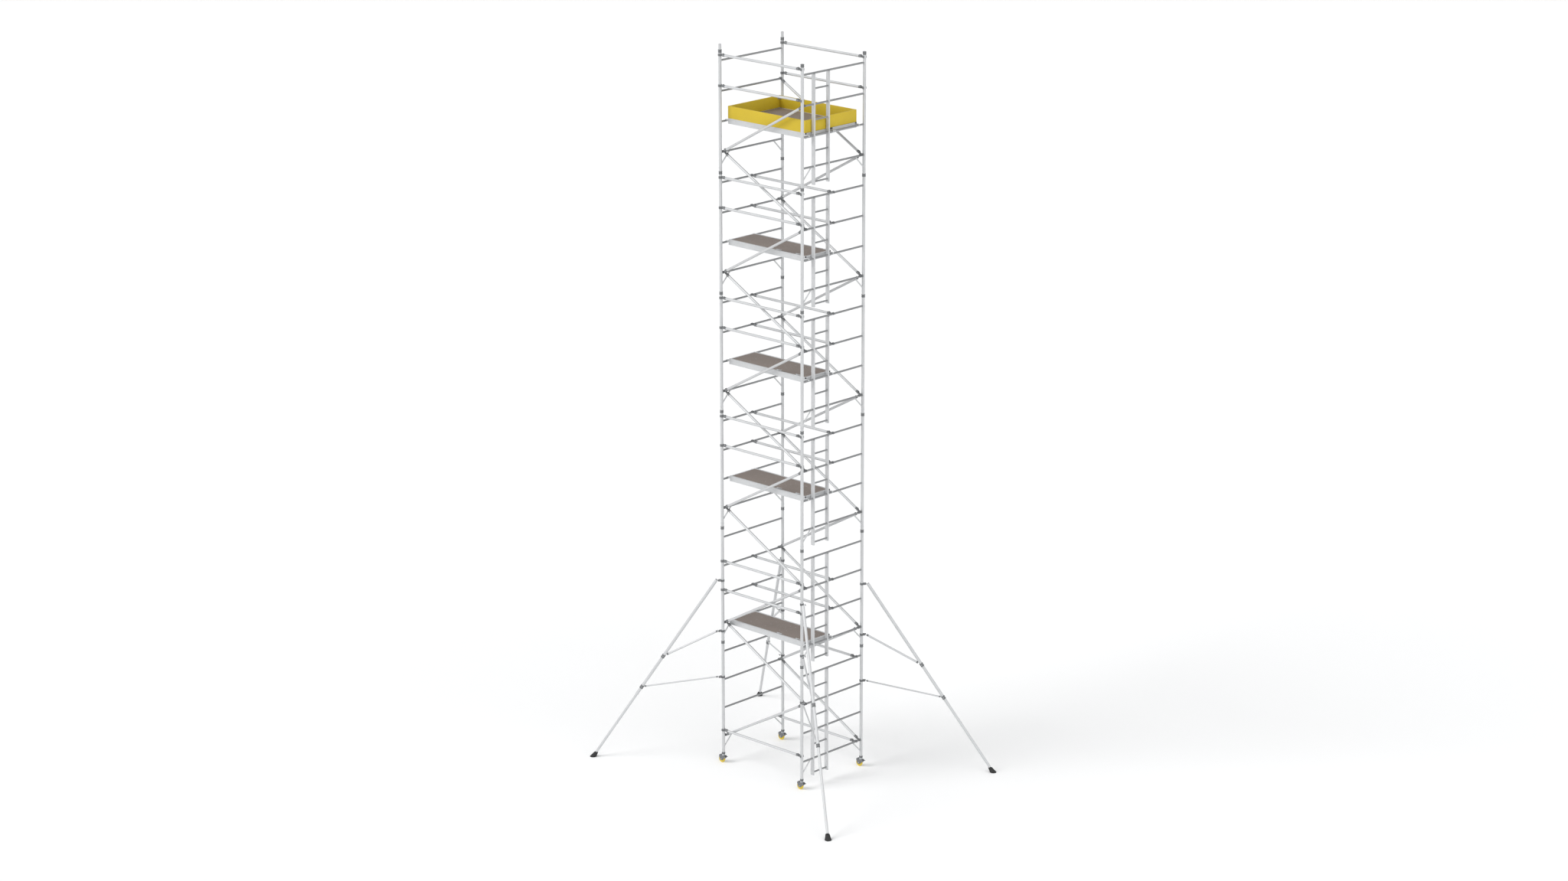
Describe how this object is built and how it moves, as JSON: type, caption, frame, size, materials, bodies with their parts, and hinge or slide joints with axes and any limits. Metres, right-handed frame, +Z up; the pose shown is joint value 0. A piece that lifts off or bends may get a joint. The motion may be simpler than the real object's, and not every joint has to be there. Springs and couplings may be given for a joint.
{
  "type": "mobile tower scaffold",
  "caption": "Mobile tower scaffold on castors with ladder frames, braces, hatch platforms, toe boards and telescopic stabilisers.",
  "frame": {"origin": "on the floor, at the middle of the tower's footprint", "axes": "+X along the bay towards the ladder frames, +Y across the end frames, +Z up"},
  "size_m": [5.5094, 4.175, 12.243],
  "materials": {
    "frame_aluminium": "mill",
    "grey_casting": "satin",
    "trigger_plastic": "matte",
    "deck_plywood": "matte",
    "toe_board_yellow": "satin",
    "wheel_yellow": "satin",
    "foot_rubber": "matte"
  },
  "bodies": {
    "tower": {"ladder_frame_1": "frame_aluminium", "ladder_frame_2": "frame_aluminium", "ladder_frame_3": "frame_aluminium", "ladder_frame_4": "frame_aluminium", "ladder_frame_5": "frame_aluminium", "ladder_frame_6": "frame_aluminium", "span_frame_1": "frame_aluminium", "span_frame_2": "frame_aluminium", "span_frame_3": "frame_aluminium", "span_frame_4": "frame_aluminium", "span_frame_5": "frame_aluminium", "span_frame_6": "frame_aluminium", "joint_collars": "grey_casting", "interlock_clips": "grey_casting", "guardrail_braces": "frame_aluminium", "diagonal_braces": "frame_aluminium", "brace_hooks": "grey_casting", "brace_triggers": "grey_casting", "platform_frames": "frame_aluminium", "top_platform_frames": "frame_aluminium", "deck_boards": "deck_plywood", "hatch_hinges": "grey_casting", "toe_boards": "toe_board_yellow", "toe_board_clips": "grey_casting", "windlocks": "trigger_plastic", "leg_nuts": "grey_casting"},
    "trapdoor_1": {"trapdoor_1": "deck_plywood"},
    "trapdoor_2": {"trapdoor_2": "deck_plywood"},
    "trapdoor_3": {"trapdoor_3": "deck_plywood"},
    "trapdoor_4": {"trapdoor_4": "deck_plywood"},
    "trapdoor_5": {"trapdoor_5": "deck_plywood"},
    "leg_1": {"leg_1": "frame_aluminium"},
    "castor_1": {"castor_fork_1": "grey_casting"},
    "wheel_1": {"castor_wheel_1": "wheel_yellow"},
    "brake_1": {"castor_brake_1": "grey_casting"},
    "stabiliser_1": {"stabiliser_1": "frame_aluminium"},
    "stabiliser_leg_1": {"stabiliser_leg_1": "frame_aluminium", "stabiliser_foot_1": "foot_rubber"},
    "leg_2": {"leg_2": "frame_aluminium"},
    "castor_2": {"castor_fork_2": "grey_casting"},
    "wheel_2": {"castor_wheel_2": "wheel_yellow"},
    "brake_2": {"castor_brake_2": "grey_casting"},
    "stabiliser_2": {"stabiliser_2": "frame_aluminium"},
    "stabiliser_leg_2": {"stabiliser_leg_2": "frame_aluminium", "stabiliser_foot_2": "foot_rubber"},
    "leg_3": {"leg_3": "frame_aluminium"},
    "castor_3": {"castor_fork_3": "grey_casting"},
    "wheel_3": {"castor_wheel_3": "wheel_yellow"},
    "brake_3": {"castor_brake_3": "grey_casting"},
    "stabiliser_3": {"stabiliser_3": "frame_aluminium"},
    "stabiliser_leg_3": {"stabiliser_leg_3": "frame_aluminium", "stabiliser_foot_3": "foot_rubber"},
    "leg_4": {"leg_4": "frame_aluminium"},
    "castor_4": {"castor_fork_4": "grey_casting"},
    "wheel_4": {"castor_wheel_4": "wheel_yellow"},
    "brake_4": {"castor_brake_4": "grey_casting"},
    "stabiliser_4": {"stabiliser_4": "frame_aluminium"},
    "stabiliser_leg_4": {"stabiliser_leg_4": "frame_aluminium", "stabiliser_foot_4": "foot_rubber"}
  },
  "joints": [
    {"name": "trapdoor_1_hinge", "type": "hinge", "parent": "tower", "child": "trapdoor_1", "pos_m": [0.4425, -0.554, 2.5289], "axis": [1, 0, 0], "range_deg": [0, 90]},
    {"name": "trapdoor_2_hinge", "type": "hinge", "parent": "tower", "child": "trapdoor_2", "pos_m": [0.4425, -0.554, 5.0289], "axis": [1, 0, 0], "range_deg": [0, 90]},
    {"name": "trapdoor_3_hinge", "type": "hinge", "parent": "tower", "child": "trapdoor_3", "pos_m": [0.4425, -0.554, 7.0289], "axis": [1, 0, 0], "range_deg": [0, 90]},
    {"name": "trapdoor_4_hinge", "type": "hinge", "parent": "tower", "child": "trapdoor_4", "pos_m": [0.4425, -0.554, 9.0289], "axis": [1, 0, 0], "range_deg": [0, 90]},
    {"name": "trapdoor_5_hinge", "type": "hinge", "parent": "tower", "child": "trapdoor_5", "pos_m": [0.4425, -0.554, 11.0289], "axis": [1, 0, 0], "range_deg": [0, 90]},
    {"name": "leg_1_slide", "type": "slide", "parent": "tower", "child": "leg_1", "axis": [0, 0, -1], "range_m": [0, 0.3]},
    {"name": "castor_1_swivel", "type": "hinge", "parent": "leg_1", "child": "castor_1", "pos_m": [-0.9, -0.725, 0.14], "axis": [0, 0, 1], "continuous": true},
    {"name": "wheel_1_spin", "type": "hinge", "parent": "castor_1", "child": "wheel_1", "pos_m": [-0.932, -0.725, 0.0625], "axis": [0, 1, 0], "continuous": true},
    {"name": "brake_1_pedal", "type": "hinge", "parent": "castor_1", "child": "brake_1", "pos_m": [-0.856, -0.725, 0.11], "axis": [0, 1, 0], "range_deg": [0, 14]},
    {"name": "stabiliser_1_swing", "type": "hinge", "parent": "tower", "child": "stabiliser_1", "pos_m": [-0.9, -0.725, 1.528], "axis": [0, 0, 1], "range_deg": [-30, 30]},
    {"name": "stabiliser_1_extend", "type": "slide", "parent": "stabiliser_1", "child": "stabiliser_leg_1", "axis": [-0.4444, -0.3228, -0.8357], "range_m": [0, 0.5]},
    {"name": "leg_2_slide", "type": "slide", "parent": "tower", "child": "leg_2", "axis": [0, 0, -1], "range_m": [0, 0.3]},
    {"name": "castor_2_swivel", "type": "hinge", "parent": "leg_2", "child": "castor_2", "pos_m": [0.9, -0.725, 0.14], "axis": [0, 0, 1], "continuous": true},
    {"name": "wheel_2_spin", "type": "hinge", "parent": "castor_2", "child": "wheel_2", "pos_m": [0.868, -0.725, 0.0625], "axis": [0, 1, 0], "continuous": true},
    {"name": "brake_2_pedal", "type": "hinge", "parent": "castor_2", "child": "brake_2", "pos_m": [0.944, -0.725, 0.11], "axis": [0, 1, 0], "range_deg": [0, 14]},
    {"name": "stabiliser_2_swing", "type": "hinge", "parent": "tower", "child": "stabiliser_2", "pos_m": [0.9, -0.725, 1.528], "axis": [0, 0, 1], "range_deg": [-30, 30]},
    {"name": "stabiliser_2_extend", "type": "slide", "parent": "stabiliser_2", "child": "stabiliser_leg_2", "axis": [0.4444, -0.3228, -0.8357], "range_m": [0, 0.5]},
    {"name": "leg_3_slide", "type": "slide", "parent": "tower", "child": "leg_3", "axis": [0, 0, -1], "range_m": [0, 0.3]},
    {"name": "castor_3_swivel", "type": "hinge", "parent": "leg_3", "child": "castor_3", "pos_m": [0.9, 0.725, 0.14], "axis": [0, 0, 1], "continuous": true},
    {"name": "wheel_3_spin", "type": "hinge", "parent": "castor_3", "child": "wheel_3", "pos_m": [0.868, 0.725, 0.0625], "axis": [0, 1, 0], "continuous": true},
    {"name": "brake_3_pedal", "type": "hinge", "parent": "castor_3", "child": "brake_3", "pos_m": [0.944, 0.725, 0.11], "axis": [0, 1, 0], "range_deg": [0, 14]},
    {"name": "stabiliser_3_swing", "type": "hinge", "parent": "tower", "child": "stabiliser_3", "pos_m": [0.9, 0.725, 1.528], "axis": [0, 0, 1], "range_deg": [-30, 30]},
    {"name": "stabiliser_3_extend", "type": "slide", "parent": "stabiliser_3", "child": "stabiliser_leg_3", "axis": [0.4444, 0.3228, -0.8357], "range_m": [0, 0.5]},
    {"name": "leg_4_slide", "type": "slide", "parent": "tower", "child": "leg_4", "axis": [0, 0, -1], "range_m": [0, 0.3]},
    {"name": "castor_4_swivel", "type": "hinge", "parent": "leg_4", "child": "castor_4", "pos_m": [-0.9, 0.725, 0.14], "axis": [0, 0, 1], "continuous": true},
    {"name": "wheel_4_spin", "type": "hinge", "parent": "castor_4", "child": "wheel_4", "pos_m": [-0.932, 0.725, 0.0625], "axis": [0, 1, 0], "continuous": true},
    {"name": "brake_4_pedal", "type": "hinge", "parent": "castor_4", "child": "brake_4", "pos_m": [-0.856, 0.725, 0.11], "axis": [0, 1, 0], "range_deg": [0, 14]},
    {"name": "stabiliser_4_swing", "type": "hinge", "parent": "tower", "child": "stabiliser_4", "pos_m": [-0.9, 0.725, 1.528], "axis": [0, 0, 1], "range_deg": [-30, 30]},
    {"name": "stabiliser_4_extend", "type": "slide", "parent": "stabiliser_4", "child": "stabiliser_leg_4", "axis": [-0.4444, 0.3228, -0.8357], "range_m": [0, 0.5]}
  ]
}
